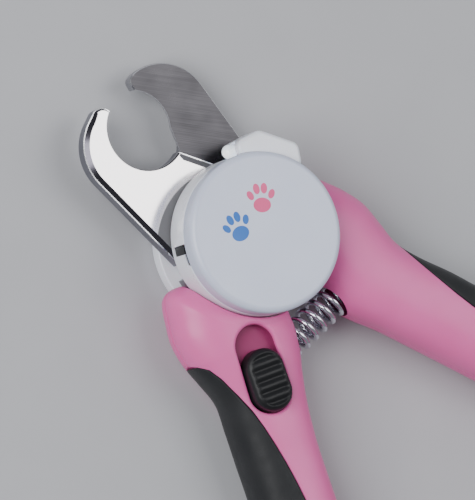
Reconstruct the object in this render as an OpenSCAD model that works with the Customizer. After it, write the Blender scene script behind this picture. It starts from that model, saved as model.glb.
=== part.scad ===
// Scissor nail clipper for pets, lying open on its back.
// The pivot axis is Z and the jaws point to +Y. The battery cap faces +Z,
// and the flat back of the rear cover lies on z = 0 with the pivot axis at the origin.

/* [Head] */
// Radius of the round housing, the battery cap and the rear cover
head_r = 16.6; // [16.2:0.1:16.8]
// Height of the ring-shaped front housing
housing_h = 6.9; // [6.6:0.1:7.4]
// Height of the battery cap above the housing
cap_h = 4.6; // [4.2:0.1:5.4]

/* [Blades] */
// Distance from the pivot to the straight back edge of either blade
back_edge = 14; // [13.8:0.1:14.2]
// Distance from the pivot to the centre of the rounded blade ends
reach = 30; // [29.5:0.1:30.5]
// Radius of the claw hole in the lower blade
claw_r = 8.4; // [8:0.1:8.4]
// Radius of the hooked cutting edge of the upper blade
hook_r = 8; // [7.8:0.1:8.2]
// How far each blade leans outward when the clipper is open, in degrees
blade_lean = 4.5; // [4.4:0.1:4.6]

/* [Handles] */
// Distance from the pivot to the tail of a handle, along the handle
handle_length = 104; // [96:1:110]
// How far each handle splays from the centre line when open, in degrees
splay = 22.2; // [22:0.1:22.4]
// Thickness of the rubber grip
grip_t = 1.8; // [1.4:0.1:2]

/* [Return spring] */
// Outer radius of the coil
coil_r = 3.7; // [3.4:0.1:3.8]
// Radius of the spring wire
wire_r = 0.58; // [0.5:0.02:0.6]
// Number of turns
turns = 8; // [7:1:8]

/* [Lock slider] */
// How far the slider moves towards the head to lock
lock_travel = 5; // [4.5:0.1:5]
// Width of the thumb button
button_w = 8.4; // [8:0.1:8.4]
// Length of the thumb button
button_l = 13.2; // [12.6:0.1:13.2]

/* [Light] */
// Radius of the lamp's clear body
lamp_r = 1.5; // [1.4:0.1:1.5]
// Direction of the lamp's beam, in degrees from +X
beam_angle = 125.5; // [124:0.5:127]

/* [Hidden] */
$fn = 64;

// Heights of the layers, from the back
gap = 0.1;
rear_h = 3.7;
upper_z = rear_h + 0.2;
upper_t = 2.6;
lower_z = upper_z + upper_t + gap;
lower_t = 3.6;
lower_top = lower_z + lower_t;
housing_z = lower_top + 0.3;
housing_top = housing_z + housing_h;
cap_z = housing_top + 0.05;
cap_top = cap_z + cap_h;
wall = 2;
floor_t = 1.5;
cavity_r = head_r - wall;

// Pivot
pin_r = 4;
pin_clearance = 0.05;
bolt_head_r = 6.5;
bolt_head_h = 1.9;
washer_t = 0.3;
nut_r = 6;
nut_h = 2.1;
hub_r = 13.6;

// Lock: the bar slides along the handle and stops a lug on the lower blade; the button rides over it
lock_x = -7.2;
bar_w = 4.4;
bar_z = 7.4;
bar_h = 2.2;
bar_tip = -17.9;
bar_tail = -33;
button_x = -8.25;
button_y = -28.5;
button_z = 13.75;
button_h = 4.25;
recess_z = 13.6;
recess_w = 8.9;
recess_top = -16.7;
recess_bottom = -35.4;
stem_y = -30.5;
stem_w = 3;
stem_l = 5;
loose = 0.3;
lug_r = 16.2;
lug_start = 232;
lug_end = 239.6;
stop_r = 15.9;
stop_start = 171;
stop_end = 180;

// Handles
split_z = 8.2;
slab = 120;
head_cut_r = head_r + 0.3;
cavity_cut_r = 19.4;
shell_t = grip_t + 1.8;
tang_x = -7.2;
tang_w = 8;
tang_end = -46;
tang_fit = 0.05;
tongue_w = 8;
tongue_end = -20;
tongue_l = 8;
tongue_t = 2;
rear_tongue_z = 1.6;
rear_tongue_t = 1.6;
tongue_fit = 0.1;
screw_r = 1.2;
screw_head_r = 2.3;
screw_head_z = 1.8;
screw_head_h = 1.3;
screw_top = 13;
boss_r = 3;
screw_spots = [[-13.5, -16.5], [tang_x, -41], [-8.6, 20 - handle_length]];
section_sides = 24;
section_power = 0.8;
rings_per_station = 2;

// Spring
coil_y = -22.4;
coil_half = 11;
pocket_r = 4.2;

// Lamp
lamp_z = 15.6;
lamp_tip = [6.6, 17.4];
lamp_l = 5.3;
lamp_seat = 2.6;
lead_l = 1.2;
lead_r = 0.22;
lead_run = 3.4;
lead_levels = [-0.7, 0.1];
cell_r = 10;
cell_h = 3.2;
cell_z = housing_z + 3.4;

// ---- Outline helpers ----

function arc(c, r, a0, a1, n = 16) =
    [for (i = [0:n]) c + r * [cos(a0 + (a1 - a0) * i / n), sin(a0 + (a1 - a0) * i / n)]];

function bezier(a, b, c, d, n = 10) =
    [for (i = [0:n - 1])
        let (t = i / n, s = 1 - t)
        s * s * s * a + 3 * s * s * t * b + 3 * s * t * t * c + t * t * t * d];

function spline(p0, p1, p2, p3, t) =
    0.5 * (2 * p1 + (p2 - p0) * t + (2 * p0 - 5 * p1 + 4 * p2 - p3) * t * t
        + (3 * p1 - p0 - 3 * p2 + p3) * t * t * t);

function smooth(list, steps) =
    let (last = len(list) - 1)
    [for (i = [0:last - 1], k = [0:steps - 1])
        spline(list[max(i - 1, 0)], list[i], list[i + 1], list[min(i + 2, last)], k / steps),
     list[last]];

module sector(r0, r1, a0, a1) {
    polygon(concat(arc([0, 0], r0, a0, a1, 8), arc([0, 0], r1, a1, a0, 8)));
}

module slot_2d(width, y_low, y_high) {
    half = width / 2;
    translate([0, y_low + half]) circle(r = half);
    translate([0, y_high - half]) circle(r = half);
    translate([-half, y_low + half]) square([width, y_high - y_low - width]);
}

module layer(z, h) {
    translate([0, 0, z]) linear_extrude(height = h) children();
}

module drill(r, z0, z1) {
    translate([0, 0, z0]) cylinder(r = r, h = z1 - z0);
}

// ---- Handle frames: a handle runs along -Y of its own frame, outer side at -X ----

module left_frame() {
    rotate(-splay) children();
}

module right_frame() {
    mirror([1, 0, 0]) rotate(-splay) children();
}

// Stations from head to tail: [y, outer x, inner x, back z, front z]
tail = -handle_length;
head_left = [
    [-5, -19.2, 3.4, 2.2, 14.4],
    [-6.5, -20.5, 3.6, 1.2, 15.6],
    [-10, -21.3, 3.7, 0.7, 16.3],
    [-15, -21.9, 3.7, 0.5, 16.6],
    [-20, -21, 3.8, 0.5, 16.5],
    [-25, -18.9, 3.2, 0.5, 16.2],
    [-30, -16.9, 2, 0.5, 15.9],
    [-36, -16.8, 0.9, 0.4, 15.5]
];
head_right = [
    [-5, -17.6, 0, 2.2, 14.4],
    [-6.5, -18.6, 0, 1.2, 15.6],
    [-10, -19.1, 0, 0.7, 16.3],
    [-15, -19.3, 0.2, 0.5, 16.6],
    [-20, -18.9, 1.3, 0.5, 16.5],
    [-25, -17, 3.6, 0.5, 16.2],
    [-30, -14.9, 3.4, 0.5, 15.9],
    [-36, -14.6, 2.7, 0.4, 15.5]
];
grasp = [
    [-44, -15.8, 1, 0.2, 15.3],
    [-52, -15.9, 0.8, 0, 15.3],
    [tail + 42, -16.6, 0.6, 0, 15.5],
    [tail + 30, -17, 0, 0, 15.3],
    [tail + 18, -16.6, -0.9, 0.2, 14.9],
    [tail + 9, -15.6, -2.1, 0.7, 14.3],
    [tail + 4, -14.2, -3.7, 1.7, 13.3],
    [tail + 1, -12, -6, 3.4, 11.4],
    [tail, -10.2, -7.8, 4.8, 10]
];

// The grasp with its outer and inner sides moved in X
function moved(stations, outer, inner) =
    [for (s = stations) [s[0], s[1] + outer, s[2] + inner, s[3], s[4]]];

left_stations = concat(head_left, moved(grasp, -1.1, -0.9));
right_stations = concat(head_right, moved(grasp, 0.6, 1.4));

function shrink(stations, d, keep) =
    [for (i = [0:len(stations) - 1 - keep])
        let (s = stations[i]) [s[0], s[1] + d, s[2] - d, s[3] + d, s[4] - d]];

function ring(s) =
    [for (k = [0:section_sides - 1])
        let (a = 360 * k / section_sides, c = cos(a), n = sin(a))
        [(s[1] + s[2]) / 2 + (s[2] - s[1]) / 2 * sign(c) * pow(abs(c), section_power),
         s[0],
         (s[3] + s[4]) / 2 + (s[4] - s[3]) / 2 * sign(n) * pow(abs(n), section_power)]];

module loft(stations) {
    rings = smooth(stations, rings_per_station);
    count = len(rings);
    sides = section_sides;
    points = [for (s = rings) each ring(s)];
    skin = [for (i = [0:count - 2], k = [0:sides - 1], half = [0, 1])
        let (a = i * sides + k, b = i * sides + (k + 1) % sides)
        half == 0 ? [a, b + sides, b] : [a, a + sides, b + sides]];
    ends = [[for (k = [0:sides - 1]) k], [for (k = [sides - 1:-1:0]) (count - 1) * sides + k]];
    polyhedron(points = points, faces = concat(skin, ends), convexity = 4);
}

// Outer side of the line where pink plastic meets black rubber
module grip_region() {
    line = concat(
        bezier([-21.6, -20.4], [-16.6, -25], [-13.6, -34], [-11, -41.5], 8),
        bezier([-11, -41.5], [-8.9, -48], [-7.8, -60], [-7.4, tail + 32], 6),
        bezier([-7.4, tail + 32], [-7.1, tail + 22], [-6.8, tail + 10], [-8.4, tail - 1], 6),
        [[-8.4, tail - 1]]);
    layer(-2, 22) polygon(concat([[-30, -20.4]], line, [[-30, tail - 1]]));
}

module handle_solid(stations) {
    difference() {
        loft(stations);
        drill(head_cut_r, -1, 20);
    }
}

module grip(stations) {
    difference() {
        intersection() {
            loft(stations);
            grip_region();
        }
        loft(shrink(stations, grip_t, 1));
        screws(tang_fit);
    }
}

// Screws, or with a fit above zero the holes they sit in, open to the back
module screws(fit) {
    neck = screw_head_z + screw_head_h;
    for (spot = screw_spots)
        translate([spot[0], spot[1], 0]) {
            drill(screw_r + fit, neck - fit, screw_top);
            drill(screw_head_r + fit, fit > 0 ? -1 : screw_head_z, neck + fit);
        }
}

module tang_2d(fit) {
    half = tang_w / 2 + fit;
    translate([tang_x, tang_end + tang_w / 2]) circle(r = half);
    translate([tang_x - half, tang_end + tang_w / 2]) square([2 * half, -tang_end - tang_w / 2 - 7]);
}

// Tongue of a cover, or with a fit above zero its seat in the handle
module tongue_2d(fit) {
    translate([tang_x - tongue_w / 2 - fit, tongue_end - fit])
        square([tongue_w + 2 * fit, tongue_l + 2 * fit]);
}

// Screw bosses; the one that carries the blade's tang leaves its slot open
module bosses(tang_z, tang_t) {
    for (spot = screw_spots)
        translate([spot[0], spot[1], 0])
            if (spot[0] == tang_x) {
                drill(boss_r, -1, tang_z);
                drill(boss_r, max(tang_z + tang_t, split_z), 20);
            } else {
                drill(boss_r, -1, 20);
            }
}

// Both halves of one handle, solid walls around a hollow with screw bosses and a spring cup
module shell(stations, tang_z, tang_t, z0, z1) {
    difference() {
        intersection() {
            union() {
                difference() {
                    handle_solid(stations);
                    grip_region();
                }
                loft(shrink(stations, grip_t, 1));
            }
            translate([-slab / 2, -slab, z0]) cube([slab, slab, z1 - z0]);
        }
        drill(head_cut_r, -1, 20);
        difference() {
            loft(shrink(stations, shell_t, 2));
            drill(cavity_cut_r, -1, 20);
            bosses(tang_z, tang_t);
            spring_cup(pocket_r + 1.5, coil_half + 1.5);
        }
        layer(tang_z - tang_fit, tang_t + 2 * tang_fit) tang_2d(tang_fit);
        screws(tang_fit);
        spring_cup(pocket_r, coil_half + 0.2);
    }
}

// A cylinder on the spring's axis, from the gap between the handles outward
module spring_cup(r, depth) {
    rotate(splay)
        translate([-depth, coil_y, split_z])
            rotate([0, 90, 0]) cylinder(r = r, h = depth - 1);
}

// ---- Head ----

module ring_notch() {
    layer(housing_z + 0.5, housing_h) sector(cavity_r - 1, head_r + 1, 146.5, 153.5);
    layer(housing_top - 1.5, 2) sector(cavity_r - 1, head_r + 1, 153, 162.5);
}

module along_beam(back) {
    dir = [cos(beam_angle), sin(beam_angle)];
    start = lamp_tip - back * dir;
    translate([start[0], start[1], lamp_z]) rotate([0, 90, beam_angle]) children();
}

// From the back of the lamp into the battery compartment
module toward_pivot() {
    bend = lamp_tip - (lamp_l + lead_l) * [cos(beam_angle), sin(beam_angle)];
    translate([bend[0], bend[1], lamp_z]) rotate([0, 90, 180 + atan2(bend[1], bend[0])]) children();
}

module lamp_bulge() {
    layer(housing_z + 1.6, 7.7)
        hull() {
            translate([9.9, 14.2]) circle(r = 2.7, $fn = 32);
            translate([12.2, 13.4]) circle(r = 3, $fn = 32);
            translate([15.8, 8.3]) circle(r = 2.9, $fn = 32);
            translate([9, 8]) circle(r = 3, $fn = 32);
        }
}

module front_housing() {
    color([0.86, 0.87, 0.91]) difference() {
        union() {
            drill(head_r, housing_z, housing_top);
            difference() {
                lamp_bulge();
                drill(head_r + 0.3, housing_top - 0.1, cap_top + 1);
            }
            left_frame() layer(housing_z, tongue_t) tongue_2d(0);
        }
        drill(cavity_r, housing_z + floor_t, cap_top);
        drill(bolt_head_r + 0.4, 0, cap_top);
        ring_notch();
        along_beam(lamp_l + 1.5) cylinder(r = lamp_r + 0.35, h = 12);
        along_beam(lamp_seat) cylinder(r = lamp_r + 0.9, h = 8);
        toward_pivot() cylinder(r = 1, h = 3);
    }
}

module battery_cap() {
    edge = 1.2;
    skirt_r = cavity_r - loose;
    color([0.74, 0.77, 0.83]) difference() {
        union() {
            rotate_extrude() polygon(concat(
                [[0, cap_z], [head_r, cap_z]],
                arc([head_r - edge, cap_top - edge], edge, 0, 90, 8),
                [[0, cap_top]]));
            drill(skirt_r, cap_z - 1.4, cap_z + 0.1);
        }
        drill(skirt_r - 1.6, cap_z - 2, cap_top - 1.8);
    }
}

module coin_cell() {
    color([0.8, 0.81, 0.83]) {
        drill(cell_r, cell_z + 0.5, cell_z + cell_h);
        drill(cell_r - 1.2, cell_z, cell_z + 0.5);
    }
}

module cell_holder() {
    z = housing_z + floor_t + 0.05;
    color([0.12, 0.12, 0.13]) difference() {
        union() {
            drill(cavity_r - 0.15, z, z + 1);
            drill(cell_r + 1.6, z + 1, cell_z + 1.6);
        }
        drill(bolt_head_r + 0.4, 0, cap_top);
        drill(cell_r + 0.1, cell_z - 0.6, cap_top);
        rotate(20) translate([cell_r - 1, -2.2, z + 1]) cube([4, 4.4, 6]);
    }
}

module contact_clip() {
    z = housing_z + floor_t + 1.1;
    color([0.78, 0.66, 0.36]) rotate(20) {
        translate([cell_r + 0.1, -2, z]) cube([0.4, 4, cell_z + cell_h - z]);
        translate([cell_r - 0.9, -2, z]) cube([1, 4, 0.4]);
    }
}

module contact_spring() {
    z = cell_z - 0.5;
    color([0.78, 0.66, 0.36]) difference() {
        union() {
            drill(8.6, z, z + 0.2);
            rotate(200) translate([5.6, -1, z + 0.15]) cube([2.6, 2, 0.3]);
        }
        drill(5.6, 0, cap_top);
    }
}

module led_lamp() {
    color([0.92, 0.96, 1]) {
        along_beam(lamp_l) cylinder(r = lamp_r, h = lamp_l - lamp_r);
        along_beam(lamp_r) sphere(r = lamp_r);
        along_beam(lamp_l) cylinder(r = lamp_r + 0.3, h = 1);
    }
}

module led_leads() {
    color([0.75, 0.76, 0.78])
        for (level = lead_levels)
            translate([0, 0, level]) {
                along_beam(lamp_l + lead_l) cylinder(r = lead_r, h = lead_l);
                toward_pivot() cylinder(r = lead_r, h = lead_run);
            }
}

// ---- Blades ----

module upper_blade_2d() {
    end = [3.5, reach];
    hook = [4.1 - hook_r, reach + 1.5];
    hook_end = -33;
    foot = [1.35, 21.7];
    tip = [2.3, reach + 8.2];
    difference() {
        union() {
            circle(r = hub_r);
            polygon(concat(
                [[-10, 6], [back_edge - 0.5, 3], [back_edge, 8]],
                arc(end, back_edge - end[0], 0, 96, 20),
                arc(tip, 1.9, 110, 215, 8),
                [[-4, 24]]));
        }
        translate(hook) circle(r = hook_r);
        // The edge leaves the hook straight, and then turns back to the round end
        polygon([hook, hook + hook_r * [cos(hook_end), sin(hook_end)], foot, [-8.3, 11.1], [-16, 20]]);
    }
}

module lower_blade_2d() {
    end = [-3.5, reach];
    tip = [-3.8, reach + 8.3];
    hole = [1.5, reach + 0.5];
    difference() {
        union() {
            circle(r = hub_r);
            polygon(concat(
                [[-back_edge, 6], [9.6, 9.6], [3.3, 22.2], [3.3, 24], [-1.4, 36]],
                arc(tip, 2.5, -5, 95, 8),
                arc(end, back_edge + end[0], 100, 180, 20)));
        }
        translate(hole) circle(r = claw_r);
    }
}

// Ground flat along the outer edge of the lower blade
module lower_blade_bevel() {
    translate([-back_edge, 4, lower_top]) rotate([0, 45, 0]) cube([1, 60, 1], center = true);
}

module upper_blade() {
    color([0.6, 0.6, 0.62]) difference() {
        union() {
            layer(upper_z, upper_t) rotate(-blade_lean) upper_blade_2d();
            layer(upper_z, upper_t) left_frame() tang_2d(0);
        }
        drill(pin_r, 0, 20);
        left_frame() screws(tang_fit);
    }
}

module lower_blade() {
    color([0.86, 0.85, 0.86]) difference() {
        union() {
            layer(lower_z, lower_t) rotate(blade_lean) lower_blade_2d();
            layer(lower_z, lower_t) right_frame() tang_2d(0);
            layer(lower_z, lower_t) sector(hub_r - 1, lug_r, lug_start, lug_end);
            layer(lower_z, lower_t) sector(hub_r - 1, stop_r, stop_start, stop_end);
        }
        drill(pin_r + pin_clearance, 0, 20);
        rotate(blade_lean) lower_blade_bevel();
        right_frame() screws(tang_fit);
    }
}

module pivot_bolt() {
    z = lower_top + washer_t;
    color([0.7, 0.71, 0.73]) difference() {
        union() {
            drill(pin_r, rear_h - nut_h, z);
            drill(bolt_head_r, z, z + bolt_head_h);
        }
        translate([-4.5, -0.6, z + bolt_head_h - 0.9]) cube([9, 1.2, 2]);
    }
}

module pivot_washer() {
    color([0.7, 0.71, 0.73]) difference() {
        drill(bolt_head_r - 0.2, lower_top + 0.05, lower_top + washer_t);
        drill(pin_r, 0, 20);
    }
}

module pivot_nut() {
    color([0.7, 0.71, 0.73]) difference() {
        translate([0, 0, upper_z - nut_h]) cylinder(r = nut_r, h = nut_h, $fn = 6);
        drill(pin_r, 0, 20);
    }
}

module rear_cover() {
    edge = 1;
    color([0.86, 0.87, 0.91]) difference() {
        union() {
            rotate_extrude() polygon(concat(
                [[0, 0]],
                arc([head_r - edge, edge], edge, -90, 0, 8),
                [[head_r, rear_h], [0, rear_h]]));
            right_frame() layer(rear_tongue_z, rear_tongue_t) tongue_2d(0);
        }
        drill(nut_r + 1.4, 1.4, 10);
    }
}

// ---- Handles ----

module left_channels() {
    // Room for the lock bar over its whole travel
    translate([lock_x - bar_w / 2 - loose, -40, bar_z - loose])
        cube([bar_w + 2 * loose, 32, bar_h + 2 * loose]);
    // Slot for the stem between the button and the bar, covered by the button at rest
    translate([lock_x - stem_w / 2 - loose, stem_y - stem_l / 2 - loose, bar_z])
        cube([stem_w + 2 * loose, stem_l + lock_travel + 2 * loose, 8]);
    // Thumb recess
    translate([button_x, 0, 0]) layer(recess_z, 6) slot_2d(recess_w, recess_bottom, recess_top);
    // Seat of the housing's tongue
    layer(housing_z - tongue_fit, tongue_t + 2 * tongue_fit) tongue_2d(tongue_fit);
}

module right_channels() {
    // Seat of the rear cover's tongue
    layer(rear_tongue_z - tongue_fit, rear_tongue_t + 2 * tongue_fit) tongue_2d(tongue_fit);
}

module left_shell(z0, z1) {
    left_frame() difference() {
        shell(left_stations, upper_z, upper_t, z0, z1);
        left_channels();
    }
}

module right_shell(z0, z1) {
    right_frame() difference() {
        shell(right_stations, lower_z, lower_t, z0, z1);
        right_channels();
    }
}

module left_front_shell() {
    color([0.87, 0.66, 0.78]) left_shell(split_z, 20);
}

module left_back_shell() {
    color([0.84, 0.62, 0.75]) left_shell(-1, split_z);
}

module right_front_shell() {
    color([0.87, 0.66, 0.78]) right_shell(split_z, 20);
}

module right_back_shell() {
    color([0.84, 0.62, 0.75]) right_shell(-1, split_z);
}

module left_grip() {
    color([0.19, 0.19, 0.21]) left_frame() grip(left_stations);
}

module right_grip() {
    color([0.19, 0.19, 0.21]) right_frame() grip(right_stations);
}

module left_screws() {
    color([0.7, 0.71, 0.73]) left_frame() screws(0);
}

module right_screws() {
    color([0.7, 0.71, 0.73]) right_frame() screws(0);
}

// ---- Lock ----

module lock_button() {
    ribs = 6;
    color([0.12, 0.125, 0.13]) left_frame() {
        translate([button_x, button_y, 0]) difference() {
            layer(button_z, button_h) slot_2d(button_w, -button_l / 2, button_l / 2);
            for (i = [0:ribs - 1])
                translate([-2.9, (i - (ribs - 1) / 2) * 1.5 - 0.4, button_z + button_h - 0.7])
                    cube([5.8, 0.8, 2]);
        }
        translate([lock_x - stem_w / 2, stem_y - stem_l / 2, bar_z + bar_h])
            cube([stem_w, stem_l, button_z - bar_z - bar_h]);
    }
}

module lock_bar() {
    color([0.7, 0.71, 0.73]) left_frame()
        translate([lock_x - bar_w / 2, bar_tail, bar_z]) cube([bar_w, bar_tip - bar_tail, bar_h]);
}

// ---- Return spring ----

module return_spring() {
    steps = 14;
    sides = 8;
    count = turns * steps;
    r = coil_r - wire_r;
    pitch = (2 * coil_half - 2 * wire_r) / turns;
    points = [for (i = [0:count], k = [0:sides - 1])
        let (a = 360 * i / steps, b = 360 * k / sides, d = r + wire_r * cos(b))
        [wire_r - coil_half + pitch * i / steps + wire_r * sin(b), coil_y + d * cos(a), split_z + d * sin(a)]];
    skin = [for (i = [0:count - 1], k = [0:sides - 1], half = [0, 1])
        let (a = i * sides + k, b = i * sides + (k + 1) % sides)
        half == 0 ? [a, b + sides, b] : [a, a + sides, b + sides]];
    ends = [[for (k = [0:sides - 1]) k], [for (k = [sides - 1:-1:0]) count * sides + k]];
    color([0.75, 0.76, 0.8]) polyhedron(points = points, faces = concat(skin, ends), convexity = 10);
}

front_housing();
battery_cap();
coin_cell();
cell_holder();
contact_clip();
contact_spring();
led_lamp();
led_leads();
upper_blade();
lower_blade();
pivot_bolt();
pivot_washer();
pivot_nut();
rear_cover();
left_front_shell();
left_back_shell();
left_grip();
left_screws();
right_front_shell();
right_back_shell();
right_grip();
right_screws();
lock_button();
lock_bar();
return_spring();
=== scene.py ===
"""Scissor nail clipper, lying open on its back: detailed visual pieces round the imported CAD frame.

Shapes are worked out in millimetres in the CAD frame and turned into metres when a mesh is made.
The pivot axis is Z, the jaws point to +Y and the battery cap faces +Z.
"""

import math

import bmesh
import bpy
import numpy as np
from mathutils import Matrix, Vector
from mathutils.bvhtree import BVHTree


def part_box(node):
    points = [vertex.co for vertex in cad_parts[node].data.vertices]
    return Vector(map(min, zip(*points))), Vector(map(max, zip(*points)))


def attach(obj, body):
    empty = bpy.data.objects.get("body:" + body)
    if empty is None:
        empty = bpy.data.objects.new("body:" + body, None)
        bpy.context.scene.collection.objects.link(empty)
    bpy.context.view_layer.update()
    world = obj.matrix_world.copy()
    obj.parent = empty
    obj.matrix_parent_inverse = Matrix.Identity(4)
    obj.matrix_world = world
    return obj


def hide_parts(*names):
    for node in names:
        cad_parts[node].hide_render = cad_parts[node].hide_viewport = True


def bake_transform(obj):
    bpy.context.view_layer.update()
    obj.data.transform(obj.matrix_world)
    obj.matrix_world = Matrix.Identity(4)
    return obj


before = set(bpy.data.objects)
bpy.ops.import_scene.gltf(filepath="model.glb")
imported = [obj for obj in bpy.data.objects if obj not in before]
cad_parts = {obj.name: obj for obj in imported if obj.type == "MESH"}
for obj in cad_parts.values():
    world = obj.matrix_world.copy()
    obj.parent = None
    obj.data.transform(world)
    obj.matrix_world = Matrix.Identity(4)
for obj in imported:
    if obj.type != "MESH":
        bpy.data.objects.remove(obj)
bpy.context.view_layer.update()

MM = 0.001
TAU = 2 * math.pi


def node_box(name):
    """Lowest and highest corner of a CAD node, in millimetres."""
    low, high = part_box(name)
    return np.array(low) / MM, np.array(high) / MM


def layer(name):
    """Lowest and highest z of a CAD node, in millimetres."""
    low, high = node_box(name)
    return low[2], high[2]


# ---- Driving sizes: from the CAD nodes' boxes where those give them ----

HEAD_R, _, CAP_TOP = node_box("battery_cap")[1]
HOUSING_Z, _ = layer("front_housing")
UPPER_Z, UPPER_TOP = layer("upper_blade")
LOWER_Z, LOWER_TOP = layer("lower_blade")
SPLIT_Z, _ = layer("left_front_shell")
REAR_TOP = 3.7
HOUSING_TOP = 17.4
CAVITY_R = 14.6
HEAD_CUT_R = HEAD_R + 0.3
GRIP_T = 1.8
# How far each handle splays and each blade leans while the tool is open
SPLAY = math.radians(22.2)
LEAN = math.radians(4.5)


# ---- Mesh helpers ----

def solid(points, faces, name="cutter"):
    """An object from millimetre points, with its faces outward. On its own it is a boolean's cutter."""
    mesh = bpy.data.meshes.new(name)
    mesh.from_pydata([tuple(p) for p in np.asarray(points, float) * MM], [], faces)
    obj = bpy.data.objects.new(name, mesh)
    bpy.context.scene.collection.objects.link(obj)
    clean(obj)
    return obj


def make(name, points, faces, body, slot, materials, replaces=(), sharp=35, face_slots=None):
    """A visual piece from millimetre points, riding on a CAD body."""
    obj = solid(points, faces, name)
    finish_mesh(obj, sharp)
    for material in materials:
        obj.data.materials.append(material)
    if face_slots is not None:
        obj.data.polygons.foreach_set("material_index", face_slots)
    if body:
        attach(obj, body)
    if replaces:
        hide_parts(*replaces)
    return obj


def face_outward(bm):
    """Consistent normals, flipped when the solid's signed volume says it is inside out."""
    bmesh.ops.recalc_face_normals(bm, faces=bm.faces)
    if bm.calc_volume(signed=True) < 0:
        bmesh.ops.reverse_faces(bm, faces=bm.faces)


def clean(obj):
    """Turns a new mesh's faces outward."""
    bm = bmesh.new()
    bm.from_mesh(obj.data)
    face_outward(bm)
    bm.to_mesh(obj.data)
    bm.free()


def finish_mesh(obj, sharp):
    """Smooth shading, broken where faces meet at more than sharp degrees."""
    obj.data.polygons.foreach_set("use_smooth", [True] * len(obj.data.polygons))
    obj.data.set_sharp_from_angle(angle=math.radians(sharp))


def sweep(loops, ends=0):
    """Points and faces of a tube through closed loops of equal length.

    Its ends stay open where ends is 0. With 1 the first end's face is wound like the loop and the last
    one's against it, and with -1 the other way round.
    """
    rings, count = len(loops), len(loops[0])
    faces = []
    for i in range(rings - 1):
        for k in range(count):
            a, b = i * count + k, i * count + (k + 1) % count
            faces.append((a, b, b + count, a + count))
    if ends:
        faces.append(tuple(range(count))[::ends])
        faces.append(tuple(range((rings - 1) * count, rings * count))[::-ends])
    return np.concatenate(loops), faces


def sweep_halves(loops):
    """As sweep, for loops whose second half mirrors the first. Strips across close the ends."""
    points, faces = sweep(loops)
    count = len(loops[0])
    for base in (0, len(points) - count):
        for k in range(count // 2 - 1):
            quad = (base + k, base + k + 1, base + count - 2 - k, base + count - 1 - k)
            faces.append(quad if base else quad[::-1])
    return points, faces


def lathe(profile, steps=128):
    """Closed solid of revolution. The profile runs from axis to axis, or is closed for a ring."""
    ring = [np.array([[r * math.cos(TAU * i / steps), r * math.sin(TAU * i / steps), z] for r, z in profile])
            for i in range(steps)]
    count = len(profile)
    points = np.concatenate(ring)
    faces = []
    for i in range(steps):
        j = (i + 1) % steps
        for k in range(count):
            n = (k + 1) % count
            faces.append((i * count + k, j * count + k, j * count + n, i * count + n))
    return points, faces


def arc_points(centre, radius, start, end, steps=7):
    """Points along an arc, angles in degrees."""
    return [(centre[0] + radius * math.cos(a), centre[1] + radius * math.sin(a))
            for a in np.radians(np.linspace(start, end, steps))]


def line_points(a, b, steps):
    """Points along a straight line, both ends included."""
    return [(a[0] + (b[0] - a[0]) * t, a[1] + (b[1] - a[1]) * t) for t in np.linspace(0, 1, steps)]


def rectangle(x0, x1, y0, y1):
    """The four corners of an upright rectangle, counter-clockwise."""
    return [(x0, y0), (x1, y0), (x1, y1), (x0, y1)]


WELD = 0.0005 * MM


def merge(obj):
    """Welds points that coincide and drops the empty faces and loose edges that leaves."""
    bm = bmesh.new()
    bm.from_mesh(obj.data)
    bmesh.ops.remove_doubles(bm, verts=bm.verts, dist=WELD)
    bmesh.ops.dissolve_degenerate(bm, edges=bm.edges, dist=WELD)
    bmesh.ops.delete(bm, geom=[e for e in bm.edges if not e.link_faces], context="EDGES")
    face_outward(bm)
    bm.to_mesh(obj.data)
    bm.free()


def spun(name, profile, body, slot, material, replaces=(), steps=128, sharp=35):
    """A piece turned about the pivot axis."""
    obj = make(name, *lathe(profile, steps), body, slot, [material], replaces)
    merge(obj)
    finish_mesh(obj, sharp)
    return obj


def cut(obj, cutter, sharp=35, operation="DIFFERENCE"):
    """Exact boolean, applied to the mesh. The cutter is used up."""
    mod = obj.modifiers.new("cut", "BOOLEAN")
    mod.operation = operation
    mod.solver = "EXACT"
    mod.object = cutter
    bpy.context.view_layer.update()
    graph = bpy.context.evaluated_depsgraph_get()
    mesh = bpy.data.meshes.new_from_object(obj.evaluated_get(graph))
    obj.modifiers.remove(mod)
    old = obj.data
    obj.data = mesh
    bpy.data.meshes.remove(old)
    merge(obj)
    finish_mesh(obj, sharp)
    bpy.data.objects.remove(cutter)


def prism(outline, z0, z1):
    """Points and faces of an upright prism over a plan outline."""
    n = len(outline)
    points = [(x, y, z) for z in (z0, z1) for x, y in outline]
    faces = [tuple(range(n))[::-1], tuple(range(n, 2 * n))]
    faces += [(i, (i + 1) % n, n + (i + 1) % n, n + i) for i in range(n)]
    return points, faces


def rod(start, end, radius, steps=48):
    """Points and faces of a cylinder between two points."""
    start, end = Vector(start), Vector(end)
    turn = (end - start).to_track_quat("Z", "Y").to_matrix()
    circle = [(radius * math.cos(TAU * i / steps), radius * math.sin(TAU * i / steps)) for i in range(steps)]
    points, faces = prism(circle, 0, (end - start).length)
    return [tuple(start + turn @ Vector(p)) for p in points], faces


def turned(points, angle, mirrored=False):
    """Points turned about the pivot axis, after an optional mirror in X."""
    p = np.array(points, float)
    c, s = math.cos(angle), math.sin(angle)
    x, y = p[:, 0].copy(), p[:, 1].copy()
    p[:, 0], p[:, 1] = x * c - y * s, x * s + y * c
    if mirrored:
        p[:, 0] *= -1
    return p


def spline(knots, t):
    """Catmull-Rom through the knots, t in knot units."""
    knots = np.asarray(knots, float)
    last = len(knots) - 1
    i = int(min(max(math.floor(t), 0), last - 1))
    u = t - i
    p0, p1, p2, p3 = (knots[min(max(j, 0), last)] for j in (i - 1, i, i + 1, i + 2))
    return 0.5 * (2 * p1 + (p2 - p0) * u + (2 * p0 - 5 * p1 + 4 * p2 - p3) * u * u
                  + (3 * p1 - p0 - 3 * p2 + p3) * u ** 3)


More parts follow.
